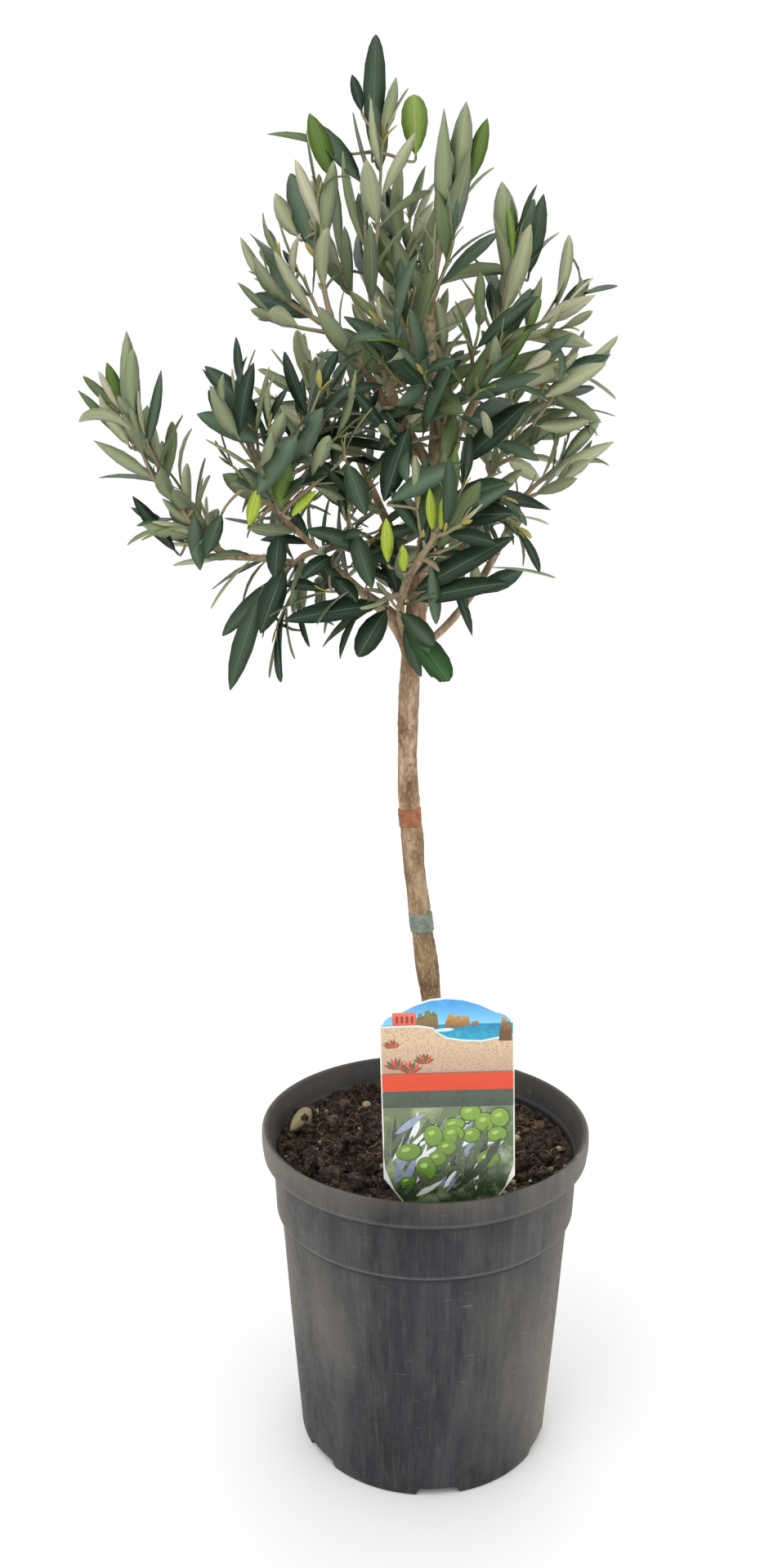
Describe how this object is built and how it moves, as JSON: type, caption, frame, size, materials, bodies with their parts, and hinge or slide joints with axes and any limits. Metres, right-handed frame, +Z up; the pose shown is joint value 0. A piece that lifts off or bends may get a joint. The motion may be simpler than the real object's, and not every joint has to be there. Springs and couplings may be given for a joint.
{
  "type": "potted olive tree",
  "caption": "Young olive tree on one slim stem with an open, leafy crown, standing in a round nursery pot of compost with a push-in plant label.",
  "frame": {"origin": "centre of the pot's flat underside", "axes": "+Z up along the pot's axis, -Y towards the front, where the plant label stands, +X to the right seen from the front"},
  "size_m": [0.2838, 0.19, 0.77],
  "materials": {
    "pot_plastic": "moulded, dusty and lightly scratched",
    "compost": "damp, crumbly, with bark chips and pebbles",
    "bark": "smooth young bark with fine freckles",
    "leaves": "leathery, dark above and grey-green below",
    "label_card": "printed",
    "band_orange": "weathered tape",
    "band_green": "weathered tape"
  },
  "bodies": {
    "root": {"pot": "pot_plastic", "soil": "compost", "plant_label": "label_card", "trunk": "bark", "band_orange": "band_orange", "band_green": "band_green", "bough_leader": "bark", "bough_left_leader": "bark", "bough_right_leader": "bark", "bough_upper_left": "bark", "bough_upper_right": "bark", "bough_left": "bark", "bough_far_left": "bark", "bough_right_long": "bark", "bough_front": "bark", "bough_back_right": "bark", "bough_back_left": "bark", "foliage_top_left": "leaves", "foliage_top_right": "leaves", "foliage_upper_left": "leaves", "foliage_outer_left": "leaves", "foliage_upper_right": "leaves", "foliage_right": "leaves", "foliage_outer_right": "leaves", "foliage_low_right": "leaves", "foliage_centre_front": "leaves", "foliage_right_front": "leaves", "foliage_left": "leaves", "foliage_inner_left": "leaves", "foliage_far_left": "leaves", "foliage_low_left": "leaves", "foliage_hanging_left": "leaves", "foliage_front": "leaves", "foliage_skirt_right": "leaves", "foliage_skirt_left": "leaves", "foliage_drop": "leaves", "foliage_side_right": "leaves", "foliage_back_low": "leaves", "foliage_back_left": "leaves", "foliage_back_right": "leaves", "foliage_back": "leaves", "foliage_back_top": "leaves", "foliage_rear_left": "leaves", "foliage_fork_left": "leaves"}
  },
  "joints": []
}
